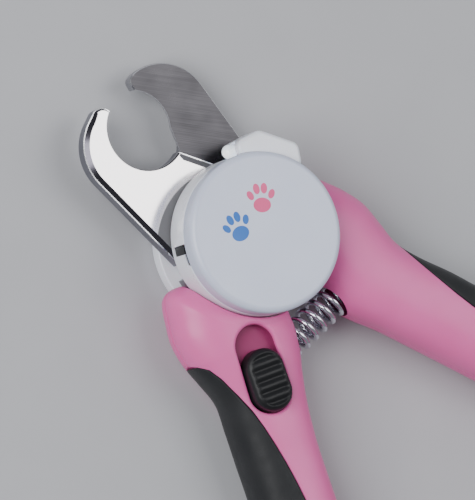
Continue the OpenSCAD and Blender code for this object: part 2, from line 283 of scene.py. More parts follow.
# ---- Materials ----

# Height of a surface's finest relief, in metres
GRAIN_HEIGHT = 0.00002
# Direction of the grinding lines on both blades
STREAK_TURN = math.radians(48)
# The crescent on the lower blade, a satin finish whose dark grey is painted shade from the housing, in
# metres: its centre, radius and soft edge
CRESCENT_CENTRE = (-0.0033, -0.00016, 0)
CRESCENT_R = 0.017
CRESCENT_BLUR = 0.00008


def new_material(name):
    """A node material, its tree and its shader."""
    material = bpy.data.materials.new(name)
    material.use_nodes = True
    return material, material.node_tree, material.node_tree.nodes["Principled BSDF"]


def add_node(tree, kind, output, inputs):
    """The output of a new node, whose inputs are values or the outputs of other nodes."""
    node = tree.nodes.new("ShaderNode" + kind)
    for name, value in inputs.items():
        if isinstance(value, bpy.types.NodeSocket):
            tree.links.new(value, node.inputs[name])
        else:
            node.inputs[name].default_value = value
    return node.outputs[output]


def coordinates(tree, scale=(1, 1, 1), turn=0.0):
    """Object coordinates, turned about Z first and stretched after."""
    where = add_node(tree, "TexCoord", "Object", {})
    turning = add_node(tree, "Mapping", "Vector", {"Rotation": (0, 0, turn), "Vector": where})
    return add_node(tree, "Mapping", "Vector", {"Scale": scale, "Vector": turning})


def noise(tree, vector, scale, detail=3.0, rough=0.5):
    """A cloudy value between 0 and 1."""
    return add_node(tree, "TexNoise", "Fac",
                    {"Scale": scale, "Detail": detail, "Roughness": rough, "Vector": vector})


def spread(tree, value, low, high):
    """Maps the middle of a noise to a range."""
    return add_node(tree, "MapRange", "Result",
                    {"From Min": 0.3, "From Max": 0.7, "To Min": low, "To Max": high, "Value": value})


def mix_colour(tree, value, first, second):
    """The first colour where the value is 0, the second where it is 1."""
    node = tree.nodes.new("ShaderNodeMix")
    node.data_type = "RGBA"
    node.inputs["A"].default_value = (*first, 1)
    node.inputs["B"].default_value = (*second, 1)
    tree.links.new(value, node.inputs["Factor"])
    return node.outputs["Result"]


def bump(tree, value, strength, distance, shader):
    """Relief from a value, with its full height in metres."""
    relief = add_node(tree, "Bump", "Normal", {"Strength": strength, "Distance": distance, "Height": value})
    tree.links.new(relief, shader.inputs["Normal"])


def plastic(name, colour, shade, rough, coat, grain=0.25, subsurface=0.0, shine=0.5):
    """Moulded plastic: faint flow marks in the colour and a fine spark-eroded grain."""
    material, tree, shader = new_material(name)
    vector = coordinates(tree)
    flow = spread(tree, noise(tree, vector, 90), 0, 1)
    tree.links.new(mix_colour(tree, flow, colour, shade), shader.inputs["Base Color"])
    fine = noise(tree, vector, 5200, 2)
    tree.links.new(spread(tree, noise(tree, vector, 240), rough - 0.04, rough + 0.05),
              shader.inputs["Roughness"])
    bump(tree, fine, grain, GRAIN_HEIGHT, shader)
    shader.inputs["Coat Weight"].default_value = coat
    shader.inputs["Coat Roughness"].default_value = 0.34
    shader.inputs["Specular IOR Level"].default_value = shine
    shader.inputs["Subsurface Weight"].default_value = subsurface
    shader.inputs["Subsurface Scale"].default_value = 0.002
    return material


def rubber():
    """Soft-touch rubber: matt, a fine pebble and slightly polished patches."""
    material, tree, shader = new_material("rubber_black")
    vector = coordinates(tree)
    cloud = spread(tree, noise(tree, vector, 130), 0, 1)
    tree.links.new(mix_colour(tree, cloud, (0.011, 0.012, 0.014), (0.016, 0.017, 0.019)),
              shader.inputs["Base Color"])
    tree.links.new(spread(tree, noise(tree, vector, 320), 0.5, 0.62), shader.inputs["Roughness"])
    bump(tree, noise(tree, vector, 2600, 3), 0.5, 2 * GRAIN_HEIGHT, shader)
    shader.inputs["Specular IOR Level"].default_value = 0.32
    shader.inputs["Sheen Weight"].default_value = 0.05
    shader.inputs["Sheen Roughness"].default_value = 0.5
    return material


def streaks(tree, turn, across=9000, along=60):
    """Fine parallel lines, as a grinding belt leaves them."""
    return noise(tree, coordinates(tree, (along, across, along), turn), 1, 4, 0.65)


def steel(name, colour, rough, lines=0.0, turn=0.0, across=9000):
    """Steel with grinding lines along one direction."""
    material, tree, shader = new_material(name)
    streak = streaks(tree, turn, across)
    stain = noise(tree, coordinates(tree), 160, 3)
    dark = tuple(c * (1 - 0.5 * min(lines, 1)) for c in colour)
    tree.links.new(mix_colour(tree, spread(tree, streak, 0, 1), colour, dark),
              shader.inputs["Base Color"])
    tree.links.new(spread(tree, stain, max(rough - 0.05, 0.02), rough + 0.07), shader.inputs["Roughness"])
    bump(tree, streak, min(lines, 1) * 0.3 + 0.02, GRAIN_HEIGHT, shader)
    shader.inputs["Metallic"].default_value = 1.0
    return material


def glow():
    """Clear epoxy lit from inside, clouded between pale blue and white."""
    material, tree, shader = new_material("lamp_lit")
    vector = coordinates(tree)
    core = spread(tree, noise(tree, vector, 700), 0, 1)
    colour = mix_colour(tree, core, (0.82, 0.92, 1.0), (1.0, 1.0, 1.0))
    tree.links.new(colour, shader.inputs["Base Color"])
    tree.links.new(colour, shader.inputs["Emission Color"])
    shader.inputs["Emission Strength"].default_value = 0.6
    shader.inputs["Roughness"].default_value = 0.08
    shader.inputs["Coat Weight"].default_value = 1.0
    return material


def polished():
    """Polished blade face, left satin in a crescent round the pivot; the crescent's dark grey is painted
    shade from the housing.
    """
    material, tree, shader = new_material("steel_polished")
    apart = tree.nodes.new("ShaderNodeVectorMath")
    apart.operation = "DISTANCE"
    flat = tree.nodes.new("ShaderNodeVectorMath")
    flat.operation = "MULTIPLY"
    flat.inputs[1].default_value = (1, 1, 0)
    tree.links.new(coordinates(tree), flat.inputs[0])
    tree.links.new(flat.outputs[0], apart.inputs[0])
    apart.inputs[1].default_value = CRESCENT_CENTRE
    mask = add_node(tree, "MapRange", "Result", {
        "From Min": CRESCENT_R - CRESCENT_BLUR, "From Max": CRESCENT_R + CRESCENT_BLUR,
        "Value": apart.outputs["Value"]})
    streak = streaks(tree, STREAK_TURN)
    # The crescent is a satin finish, and its dark grey base colour with low metallic is painted shade from
    # the housing.
    satin_shade_colour, mirror_colour = (0.175, 0.175, 0.185), (0.93, 0.895, 0.905)
    tree.links.new(mix_colour(tree, mask, satin_shade_colour, mirror_colour),
              shader.inputs["Base Color"])
    bump(tree, streak, 0.05, GRAIN_HEIGHT, shader)
    for socket, satin_value, mirror_value in (("Roughness", 0.45, 0.13), ("Metallic", 0.25, 1.0)):
        value = add_node(tree, "MapRange", "Result",
                         {"To Min": satin_value, "To Max": mirror_value, "Value": mask})
        tree.links.new(value, shader.inputs[socket])
    return material


PINK = plastic("plastic_pink", (0.80, 0.15, 0.42), (0.765, 0.135, 0.39),
               rough=0.38, coat=0.12, grain=0.2, subsurface=0.06, shine=0.35)
# Darker pink for the thumb recess and the spring pockets: painted shade, not a different plastic.
PINK_PAINTED_SHADE = plastic("plastic_pink_painted_shade", (0.32, 0.04, 0.14), (0.29, 0.034, 0.125),
                    rough=0.45, coat=0.0, shine=0.2)
WHITE = plastic("plastic_white", (0.88, 0.90, 0.98), (0.86, 0.88, 0.96),
                rough=0.3, coat=0.4, grain=0.12, subsurface=0.05)
CAP = plastic("plastic_cap", (0.64, 0.69, 0.85), (0.615, 0.665, 0.83),
              rough=0.34, coat=0.35, grain=0.15, subsurface=0.05)
BLACK = plastic("plastic_black", (0.007, 0.0075, 0.009), (0.011, 0.0115, 0.013),
                rough=0.42, coat=0.05, grain=0.35, shine=0.3)
HOLDER = plastic("plastic_holder", (0.012, 0.012, 0.014), (0.018, 0.018, 0.02),
                 rough=0.5, coat=0.0, grain=0.3)
INK_BLUE = plastic("ink_blue", (0.005, 0.13, 0.52), (0.008, 0.15, 0.56), rough=0.4, coat=0.0)
INK_PINK = plastic("ink_pink", (0.78, 0.07, 0.24), (0.81, 0.09, 0.27), rough=0.4, coat=0.0)
RUBBER = rubber()
BRUSHED = steel("steel_brushed", (0.082, 0.079, 0.086), 0.30, 0.75, STREAK_TURN, across=7500)
EDGE = steel("steel_edge", (0.80, 0.80, 0.83), 0.16, 0.05)
POLISHED = polished()
SATIN = steel("steel_satin", (0.42, 0.42, 0.45), 0.34, 0.5, STREAK_TURN)
# The lower blade's bevel steel: dark grey painted shade, and a lighter copy painted light for the one stretch
# near the hub.
BEVEL_PAINTED_SHADE = steel("steel_bevel_painted_shade", (0.10, 0.095, 0.115), 0.22, 0.3, STREAK_TURN)
BEVEL_PAINTED_LIGHT = steel("steel_bevel_painted_light", (0.34, 0.335, 0.36), 0.5, 0.3, STREAK_TURN)
WALL = steel("steel_wall", (0.26, 0.26, 0.30), 0.32, 0.3)
WIRE = steel("steel_wire", (0.72, 0.73, 0.80), 0.12, 0.05)
TURNED = steel("steel_turned", (0.60, 0.61, 0.63), 0.25, 0.3)
NICKEL = steel("nickel_cell", (0.78, 0.79, 0.80), 0.16, 0.1)
CONTACT = steel("brass_contact", (0.78, 0.62, 0.30), 0.22, 0.15)
LIT = glow()


# ---- Handles ----

def arc_path(outer, inner, sag, share):
    """A point on the arc from outer to inner whose middle sags towards the tail."""
    outer, inner = np.asarray(outer, float), np.asarray(inner, float)
    chord = inner - outer
    length = np.linalg.norm(chord)
    if sag < 1e-3:
        return outer + chord * share
    radius = (length ** 2 / 4 + sag ** 2) / (2 * sag)
    half = math.asin(min(length / 2 / radius, 1))
    angle = half * (2 * share - 1)
    along = chord / length
    down = np.array([along[1], -along[0]])
    if down[1] > 0:
        down = -down
    middle = (outer + inner) / 2
    return middle + along * radius * math.sin(angle) + down * (radius * math.cos(angle) - radius + sag)


# Stations down a handle: distance from the pivot, height of its back, height of its front
HEIGHTS = np.array([[0, 0.5, 14.6], [5, 2.2, 14.4], [6.5, 1.2, 15.6], [10, 0.7, 16.3], [15, 0.5, 16.6],
                    [20, 0.5, 16.5], [25, 0.5, 16.2], [30, 0.5, 15.9], [36, 0.4, 15.5], [44, 0.2, 15.3],
                    [52, 0.05, 15.3], [62, 0.05, 15.5], [74, 0.05, 15.3], [86, 0.25, 14.9], [95, 0.75, 14.3],
                    [100, 1.75, 13.3], [103, 3.45, 11.4], [104, 4.85, 10.0]])

# Keeps the rounded sections inside the coarser ones of the frame
INSIDE = 0.03
# Side lines of a handle, head first, in its own frame. An outer and an inner station make one level.
GRASP_OUTER = np.array([(-15.8, -44), (-15.9, -52), (-16.6, -62), (-17, -74), (-16.6, -86), (-15.6, -95),
                        (-14.2, -100), (-12, -103), (-10.2, -103.95)])
GRASP_INNER = np.array([(1, -44), (0.8, -52), (0.6, -62), (0, -74), (-0.9, -86), (-2.1, -95),
                        (-3.7, -100), (-6, -103), (-7.8, -103.95)])
OUTER_LEFT = np.array([(-16.25, -4.7), (-18.2, -4.75), (-19.8, -5.4), (-20.75, -6.9), (-21.35, -10.2),
                       (-21.85, -15), (-20.95, -20), (-18.85, -25), (-16.9, -30), (-16.8, -36),
                       *(GRASP_OUTER + (INSIDE - 1.1, 0))])
INNER_LEFT = np.array([(3.6, -16.52), (3.64, -17), (3.7, -17.6), (3.75, -18.3), (3.8, -19.2), (3.8, -20.3),
                       (3.65, -22.3), (3.15, -25.6), (2.0, -30), (0.9, -36), *(GRASP_INNER + (-0.9, 0))])
OUTER_RIGHT = np.array([(-16.25, -4.7), (-17.1, -4.9), (-17.9, -5.8), (-18.5, -7.4), (-18.95, -10.5),
                        (-19.25, -15), (-18.85, -20), (-16.95, -25), (-14.9, -30), (-14.6, -36),
                        *(GRASP_OUTER + (INSIDE + 0.6, 0))])
INNER_RIGHT = np.array([(0.45, -16.9), (0.5, -17.4), (0.6, -18), (0.8, -18.7), (1.1, -19.5), (1.6, -20.6),
                        (2.5, -22.3), (3.6, -25.6), (3.4, -30), (2.7, -36), *(GRASP_INNER + (1.4, 0))])

# The line between rubber and plastic on either face of a handle
GRIP_LINE = np.array([(-22.6, -19.6), (-20.6, -20.9), (-18.6, -22.6), (-16.9, -25.2), (-14.8, -29.5),
                      (-13.2, -33.5), (-12, -37.5), (-11, -41.5), (-10.1, -45.5), (-9.3, -50), (-8.6, -55),
                      (-8.1, -61), (-7.7, -67), (-7.4, -73), (-7.15, -80), (-7.05, -88), (-7.3, -96),
                      (-8.4, -104)])

# Below 1 a section is fuller at its corners than an ellipse
SECTION_POWER = 0.8
# The level by which the head end's arcs have straightened
HEAD_LEVELS = 7.0
# Radius of the edge where the handle meets the head
HEAD_EDGE = 0.5
# A surface moved inward never shrinks below this share of the section
LEAST_CORE = 0.05


def fuller(value, power=SECTION_POWER):
    """A sine or cosine, squared off for the section. With the power's inverse it is undone."""
    return math.copysign(abs(value) ** power, value)


def heights(y):
    """Heights of a handle's back and front at a place along it."""
    return [np.interp(-y, HEIGHTS[:, 0], HEIGHTS[:, column]) for column in (1, 2)]


class Handle:
    """The surface of one handle in its own frame: outer side at -X, running along -Y.

    A level counts stations from the head. A share crosses a level, from -1 at the outer side to 1.
    """

    def __init__(self, outer, inner):
        self.outer, self.inner = outer, inner
        head_end = [0, 0.05, 0.12, 0.22, 0.36, 0.55, 0.8]
        middle = list(np.arange(1.0, 8.0, 0.125)) + list(np.arange(8.0, 15.0, 0.1))
        tail_end = list(np.linspace(15, 18, 25))
        self.levels = np.array(head_end + middle + tail_end)

    def sides(self, level):
        """The outer and the inner point of a level."""
        return spline(self.outer, level), spline(self.inner, level)

    def plan(self, level, share):
        """A point in plan: on an arc round the head at first, on a straight line further down."""
        outer, inner = self.sides(level)
        chord = np.linalg.norm(inner - outer)
        full = 0
        if level < HEAD_LEVELS:
            full = HEAD_CUT_R - math.sqrt(max(HEAD_CUT_R ** 2 - chord ** 2 / 4, 0))
        passed = min(level / HEAD_LEVELS, 1.0)
        fade = 1 - passed * passed * (3 - 2 * passed)
        return arc_path(outer, inner, full * fade, (share + 1) / 2)

    def share_at(self, level, place):
        """The share of this level at which a point stands."""
        outer, inner = self.sides(level)
        chord = inner - outer
        along = np.dot(place[:2] - outer, chord) / np.dot(chord, chord)
        low, high = -1.0, 1.0
        for _ in range(22):
            middle = (low + high) / 2
            here = np.dot(self.plan(level, middle) - outer, chord) / np.dot(chord, chord)
            low, high = (middle, high) if here < along else (low, middle)
        return (low + high) / 2

    def seam_share(self, level):
        """The share at which the rubber's edge crosses this level."""
        shares = np.linspace(-1, 1, 161)
        places = np.array([self.plan(level, share) for share in shares])
        line = np.interp(-places[:, 1], -GRIP_LINE[:, 1], GRIP_LINE[:, 0], left=-99)
        outside = places[:, 0] - line
        under = np.where(outside < 0)[0]
        if len(under) == 0:
            return -1.0
        last = under[-1]
        if last == len(shares) - 1:
            return 1.0
        part = outside[last] / (outside[last] - outside[last + 1])
        return shares[last] + part * (shares[last + 1] - shares[last])

    def point(self, level, angle, depth):
        """A surface point, or one that lies depth below the surface."""
        outer, inner = self.sides(level)
        half_width = np.linalg.norm(inner - outer) / 2
        shrink = max(1 - depth / half_width, LEAST_CORE)
        x, y = self.plan(level, fuller(math.cos(angle)) * shrink)
        back, front = heights(y)
        middle, half_height = (back + front) / 2, (front - back) / 2
        z = middle + fuller(math.sin(angle)) * half_height * max(1 - depth / half_height, LEAST_CORE)
        gap = math.hypot(x, y) - HEAD_CUT_R
        if gap < HEAD_EDGE:
            drop = HEAD_EDGE - math.sqrt(max(HEAD_EDGE ** 2 - (HEAD_EDGE - max(gap, 0)) ** 2, 0))
            z -= math.copysign(min(drop, abs(z - SPLIT_Z)), z - SPLIT_Z)
        return np.array([x, y, z])

    def parting_angle(self, level, inner_side):
        """The angle at which the surface crosses the plane where the two shells meet."""
        back, front = heights(self.plan(level, 1 if inner_side else -1)[1])
        height = (SPLIT_Z - (back + front) / 2) / ((front - back) / 2)
        angle = math.asin(fuller(math.copysign(min(abs(height), 0.95), height), 1 / SECTION_POWER))
        return angle if inner_side else math.pi - angle


# The rounded edge of a moulded part, from the edge inward: angle along the section, depth
LIP = [(0.0, 0.34), (0.004, 0.2), (0.012, 0.1), (0.026, 0.03), (0.045, 0.0)]
LIP_ANGLE = LIP[-1][0]
# The lip at the line where the shells meet is this much of a full one
PARTING_LIP = 0.35
# Half the line between the two shells, and the least height of a shell's wall over it
PARTING_GAP = 0.03
LEAST_RISE = 0.02
# The bed under the rubber, and the rubber itself, thin out towards the seam at this rate
SEAM_SLOPE = 6
# Play between rubber and plastic: along the seam in radians, and under the rubber in mm
SEAM_GAP = 0.012
BED_GAP = 0.06
ARC_STEPS = 44
UNDER_STEPS = 16


def shell_loops(handle, front):
    """Closed loops of one half shell: the visible arc, the bed under the rubber, the parting plane."""
    side = 1 if front else -1
    plane = SPLIT_Z + side * PARTING_GAP
    loops = []
    for level in handle.levels:
        a_in, a_out = handle.parting_angle(level, True), handle.parting_angle(level, False)
        if not front:
            a_in, a_out = -a_in, TAU - a_out
        seam = math.acos(fuller(handle.seam_share(level), 1 / SECTION_POWER))
        bed = min(GRIP_T, SEAM_SLOPE * max(a_out - seam, 0.0))
        seam = min(max(seam, a_in + 0.2), a_out - 0.03)
        top = [(a_in + 0.002 + along, depth * PARTING_LIP) for along, depth in LIP]
        top += [(a, 0.0) for a in np.linspace(top[-1][0], seam - LIP_ANGLE, ARC_STEPS)[1:-1]]
        top += [(seam - along, min(depth, bed)) for along, depth in LIP[::-1]]
        top += [(a, bed) for a in np.linspace(seam + 0.002, a_out - 0.002, UNDER_STEPS)]
        arc = np.array([handle.point(level, side * a, depth) for a, depth in top])
        least = plane + side * LEAST_RISE
        arc[:, 2] = np.maximum(arc[:, 2], least) if front else np.minimum(arc[:, 2], least)
        ends = [handle.share_at(level, arc[-1]), handle.share_at(level, arc[0])]
        floor = np.array([(*handle.plan(level, share), plane) for share in np.linspace(*ends, len(arc))])
        loops.append(np.concatenate([arc, floor]))
    return loops


def grip_loops(handle):
    """Closed loops of the rubber: round the outer side and back along its inner face."""
    loops = []
    for level in handle.levels:
        share = handle.seam_share(level)
        if share <= -0.999:
            continue
        seam = math.acos(fuller(share, 1 / SECTION_POWER))
        width = math.pi - seam
        gap = min(SEAM_GAP, width * 0.2)
        thick = min(GRIP_T - BED_GAP, SEAM_SLOPE * width)
        lip = [(along * min(1, width / 0.2), min(depth, thick * 0.8)) for along, depth in LIP]
        angles = [(seam + gap + along, depth) for along, depth in lip]
        low = seam + gap + lip[-1][0]
        angles += [(a, 0.0) for a in np.linspace(low, TAU - low, 2 * ARC_STEPS)[1:-1]]
        angles += [(TAU - seam - gap - along, depth) for along, depth in lip[::-1]]
        outer = np.array([handle.point(level, a, depth) for a, depth in angles])
        inner = np.array([handle.point(level, a, max(thick, depth + 0.02)) for a, depth in angles[::-1]])
        loops.append(np.concatenate([outer, inner]))
    return loops


def build_swept(name, loops, slot, material, mirrored):
    """A handle's piece from its loops, turned to where the open handle lies."""
    points, faces = sweep_halves(loops)
    return make(name, turned(points, -SPLAY, mirrored), faces, None, slot, [material], sharp=50)


def stadium(width, y_low, y_high, grow=0.0, steps=24):
    """Plan outline of a slot with round ends, centred on x = 0, with points along its sides too."""
    r = width / 2 + grow
    low, high = y_low + width / 2, y_high - width / 2
    return (arc_points((0, high), r, 0, 180, steps) + line_points((-r, high), (-r, low), steps)[1:-1]
            + arc_points((0, low), r, 180, 360, steps) + line_points((r, low), (r, high), steps)[1:-1])


# Lock and button, in the handle's own frame
LOCK_X = -7.2
BAR_HALF = 2.2
BAR_Z = 7.4
BAR_H = 2.2
BAR_RUN = (-40, -8)
LOOSE = 0.3
STEM_Y = -30.5
STEM_SLOT = (1.8, -2.8, 7.8)
BUTTON_X = -8.25
BUTTON_Y = -28.5
RECESS_FLOOR = 13.6
RECESS_W, RECESS_LOW, RECESS_HIGH = 8.9, -35.4, -16.7
# The recess's rounded rim, from the shell's face down: how far it flares, how deep it lies
RECESS_RIM = [(0.62, -0.01), (0.42, -0.07), (0.25, -0.17), (0.11, -0.33), (0.02, -0.58), (0.0, -0.85)]
RECESS_FLARE = 0.72

COIL_Y = -22.4
COIL_HALF = 11.0
POCKET_R = 4.2

SCREWS = [(-13.5, -16.5), (LOCK_X, -41.0), (-8.6, -84.0)]
SCREW_HEAD_R = 2.3
SCREW_SEAT = 3.1


def recess_cutter(shell):
    """Solid for the thumb recess, with a rounded rim that follows the shell's surface."""
    tree = BVHTree.FromObject(shell, bpy.context.evaluated_depsgraph_get())

    def surface(x, y):
        px, py, _ = turned([(x, y, 0)], -SPLAY)[0]
        hit = tree.ray_cast(Vector((px * MM, py * MM, 0.05)), Vector((0, 0, -1)))[0]
        return hit.z / MM if hit else 15.8

    def ring(grow, height):
        outline = [(x + BUTTON_X, y) for x, y in stadium(RECESS_W, RECESS_LOW, RECESS_HIGH, grow)]
        return np.array([(x, y, height(x, y)) for x, y in outline])

    rings = [ring(RECESS_FLARE, lambda x, y: 19), ring(RECESS_FLARE, lambda x, y: surface(x, y) + 0.03)]
    rings += [ring(grow, lambda x, y: surface(x, y) + drop) for grow, drop in RECESS_RIM]
    rings.append(ring(0, lambda x, y: RECESS_FLOOR))
    points, faces = sweep(rings, 1)
    return solid(turned(points, -SPLAY), faces)


def spring_pocket():
    """Solid for the round pockets that hold the return spring's ends."""
    half = COIL_HALF + 0.2
    return solid(*rod((-half, COIL_Y, SPLIT_Z), (half, COIL_Y, SPLIT_Z), POCKET_R, 64))


def screw_hole(spot, mirrored):
    """Solid for one screw's hole, open to the back."""
    x, y, _ = turned([(*spot, 0)], -SPLAY, mirrored)[0]
    return solid(*rod((x, y, -1), (x, y, SCREW_SEAT + 0.05), SCREW_HEAD_R + 0.1, 40))


def box_points(x0, x1, y0, y1, z0, z1):
    """Points and faces of a box that stands square to the left handle."""
    points, faces = prism(rectangle(x0, x1, y0, y1), z0, z1)
    return turned(points, -SPLAY), faces


def lock_channel():
    """Solid for the channel in which the lock bar slides."""
    half = BAR_HALF + LOOSE
    return solid(*box_points(LOCK_X - half, LOCK_X + half, *BAR_RUN, BAR_Z - LOOSE, BAR_Z + BAR_H + LOOSE))


def stem_slot():
    """Solid for the slot under the button, long enough for its stem's travel."""
    half, behind, ahead = STEM_SLOT
    return solid(*box_points(LOCK_X - half, LOCK_X + half, STEM_Y + behind, STEM_Y + ahead, 8, 14))


def in_pocket(centre):
    """Whether a face lies in a spring pocket."""
    return (abs(centre[0]) < COIL_HALF + 0.3
            and math.hypot(centre[1] - COIL_Y, centre[2] - SPLIT_Z) < POCKET_R + 0.02)


def in_recess(centre):
    """Whether a face lies in the thumb recess, below its rim."""
    x, y, _ = turned([centre], SPLAY)[0]
    return (abs(x - BUTTON_X) < RECESS_W / 2 + 0.02 and RECESS_LOW - 0.05 < y < RECESS_HIGH + 0.05
            and 7 < centre[2] < 14.6)


def paint_recess_shade(obj, *insides):
    """Gives the faces inside a recess a darker pink: painted shade."""
    obj.data.materials.append(PINK_PAINTED_SHADE)
    for face in obj.data.polygons:
        centre = np.array(face.center) / MM
        if any(inside(centre) for inside in insides):
            face.material_index = 1


def build_handle(side, outer, inner, mirrored, body):
    """Two shells and a rubber grip, cut for the spring, the screws and the lock."""
    handle = Handle(outer, inner)
    front = build_swept(f"{side}_front_shell_skin", shell_loops(handle, True), "pink_plastic", PINK, mirrored)
    back = build_swept(f"{side}_back_shell_skin", shell_loops(handle, False), "pink_plastic", PINK, mirrored)
    grip = build_swept(f"{side}_grip_skin", grip_loops(handle), "black_rubber", RUBBER, mirrored)
    for shell in (front, back):
        cut(shell, spring_pocket(), 50)
    for spot in SCREWS:
        cut(back, screw_hole(spot, mirrored), 50)
    cut(grip, screw_hole(SCREWS[-1], mirrored), 50)
    if side == "left":
        cut(front, recess_cutter(front), 50)
        cut(front, stem_slot(), 50)
        cut(front, lock_channel(), 50)
        cut(back, lock_channel(), 50)
        paint_recess_shade(front, in_pocket, in_recess)
    else:
        paint_recess_shade(front, in_pocket)
    paint_recess_shade(back, in_pocket)
    for obj, node in ((front, "front_shell"), (back, "back_shell"), (grip, "grip")):
        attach(obj, body)
        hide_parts(f"{side}_{node}")


build_handle("left", OUTER_LEFT, INNER_LEFT, False, "left_half")
build_handle("right", OUTER_RIGHT, INNER_RIGHT, True, "right_half")


# ---- Blades ----

def sector_outline(r0, r1, a0, a1):
    """Outline of a piece of a ring between two radii and two angles in degrees."""
    return arc_points((0, 0), r1, a0, a1, 12) + arc_points((0, 0), r0, a1, a0, 12)


def inset(outline, amounts):
    """The outline moved inward: each edge by its own amount, corners where the moved edges meet."""
    p = np.array(outline, float)
    amounts = np.asarray(amounts, float)
    edges = np.roll(p, -1, 0) - p
    edges /= np.linalg.norm(edges, axis=1)[:, None]
    inward = np.column_stack([-edges[:, 1], edges[:, 0]])
    moved = []
    for i in range(len(p)):
        n1, n2 = inward[i - 1], inward[i]
        a1, a2 = amounts[i], amounts[(i + 1) % len(p)]
        across = n1[0] * n2[1] - n1[1] * n2[0]
        if abs(across) < 0.35:
            step = (n1 + n2) / np.linalg.norm(n1 + n2) * (a1 + a2) / 2
        else:
            step = np.linalg.solve(np.array([n1, n2]), np.array([a1, a2]))
        moved.append(p[i] + step)
    return np.array(moved)


def blade(name, stretches, z0, z1, drop, ledge, lean, body, slot, materials, replaces, pale=None):
    """Plate from stretches of (points, bevel width, undercut), with a narrow ledge below the bevel.

    The materials are those of the face, the wall, the bevel and the ledge, and of the one pale bevel: a
    lighter copy of the bevel's steel, painted light.
    """
    outline = [place for points, _, _ in stretches for place in points]
    widths = np.array([width for points, width, _ in stretches for _ in points])
    under = np.array([undercut for points, _, undercut in stretches for _ in points])
    ledges = np.minimum(ledge, widths * 0.35)
    step = z1 - drop
    levels = [(z0, under), (step - 0.5, under * 0.08), (step, under * 0), (step + 0.03, ledges), (z1, widths)]
    n = len(outline)
    rings = [np.column_stack([inset(outline, amount), np.full(n, z)]) for z, amount in levels]
    points, faces = sweep(rings, -1)
    face, wall, bevel, edge, painted_light_bevel = range(5)
    bevels = [painted_light_bevel if k == pale else bevel for k, (part, _, _) in enumerate(stretches) for _ in part]
    kinds = [wall] * (2 * n) + [edge] * n + bevels + [wall, face]
    make(name, turned(points, lean), faces, body, slot, materials, replaces, 20, kinds)


# Both blades' outlines, before they lean: the straight back edge, the round at the pivot and the end
REACH = 29.99
HUB_R = 13.6
BACK_EDGE = 14.0
END_R = 10.5
SQUARE = 0.05

# The claw hole in the lower blade, its cutting edge and the blade's chamfered back
HOLE_CENTRE = (1.5, REACH + 0.5)
HOLE_R = 8.4
CHAMFER = 1.12
blade("lower_blade_steel", [
    (arc_points((0, 0), HUB_R, 155, 404, 70), 0.15, SQUARE),
    (line_points((9.6, 9.7), (3.35, 22.1), 14), 1.5, SQUARE),
    (arc_points(HOLE_CENTRE, HOLE_R, 282, 109.5, 70), 0.34, SQUARE),
    (arc_points((-3.8, REACH + 8.3), 2.5, 4, 92, 14)[1:], 0.6, SQUARE),
    (arc_points((-3.5, REACH), END_R, 103, 180, 34), CHAMFER, SQUARE),
    (line_points((-BACK_EDGE, REACH), (-BACK_EDGE, 6.5), 20)[1:], CHAMFER, SQUARE),
], LOWER_Z, LOWER_TOP, 0.7, 0.24, LEAN, "right_half", "polished_blade",
    [POLISHED, WALL, BEVEL_PAINTED_SHADE, EDGE, BEVEL_PAINTED_LIGHT], ["lower_blade"], pale=1)

# The upper blade's hook: an arc that runs out straight to the corner of the claw hole
HOOK_CENTRE = (-3.9, REACH + 1.5)
HOOK_R = 8.0
HOOK_END = -33
HOOK_FOOT = (1.35, 21.7)
HOOK_UNDER = 1.5
HOOK_BEVEL = 0.04
hook_end = arc_points(HOOK_CENTRE, HOOK_R, HOOK_END, HOOK_END, 1)[0]
blade("upper_blade_steel", [
    (arc_points((0, 0), HUB_R, 128, 374, 70), 0.15, SQUARE),
    (line_points((BACK_EDGE, 6.5), (BACK_EDGE, REACH), 20), 0.2, SQUARE),
    (arc_points((3.5, REACH), END_R, 0, 92, 34)[1:], 0.2, SQUARE),
    (arc_points((2.6, REACH + 8.9), 1.4, 95, 178, 12), 0.3, SQUARE),
    (arc_points((1.5, REACH + 8.05), 0.45, 185, 262, 6), 0.3, SQUARE),
    (arc_points(HOOK_CENTRE, HOOK_R, 47, HOOK_END, 50), HOOK_BEVEL, HOOK_UNDER),
    (line_points(hook_end, HOOK_FOOT, 12)[1:], HOOK_BEVEL, HOOK_UNDER),
    (line_points(HOOK_FOOT, (-8.3, 11.1), 10)[1:], 0.2, SQUARE),
], UPPER_Z, UPPER_TOP, 0.25, 0.12, -LEAN, "left_half", "brushed_blade",
    [BRUSHED, SATIN, EDGE, EDGE], ["upper_blade"])


def lug(name, radius, start, end):
    """A lug on the rim of the lower blade's round end, angles in degrees."""
    points, faces = prism(sector_outline(HUB_R - 1, radius, start, end), LOWER_Z + 0.05, LOWER_TOP - 0.05)
    make(name, points, faces, "right_half", "polished_blade", [SATIN])


lug("lower_blade_stop", 15.9, 171, 180)
lug("lower_blade_lock_lug", 16.2, 232, 239.6)


# ---- Head: ring, bulge, cap, rear disc ----

# The lamp's housing: rounds of (centre, radius) that its outline wraps, and its heights
BULGE_ROUNDS = [((9.6, 14.9), 2.1), ((12.7, 13.9), 2.3), ((16.5, 8.2), 2.1), ((15.6, 6.4), 1.9),
                ((9.0, 8.0), 3.0)]
BULGE_LOW = 12.1
BULGE_CHAMFER = 0.4
BULGE_TOP = 19.75
BULGE_EDGE = 0.9


def wrapped(rounds):
    """The outline of a band stretched round some circles, counter-clockwise."""
    cloud = [place for centre, radius in rounds for place in arc_points(centre, radius, 0, 360, 65)]
    cloud = sorted(set((round(x, 5), round(y, 5)) for x, y in cloud))

    def turns_left(a, b, c):
        return (b[0] - a[0]) * (c[1] - a[1]) - (b[1] - a[1]) * (c[0] - a[0]) > 1e-9

    def half(points):
        out = []
        for place in points:
            while len(out) > 1 and not turns_left(out[-2], out[-1], place):
                out.pop()
            out.append(place)
        return out[:-1]
    return half(cloud) + half(cloud[::-1])


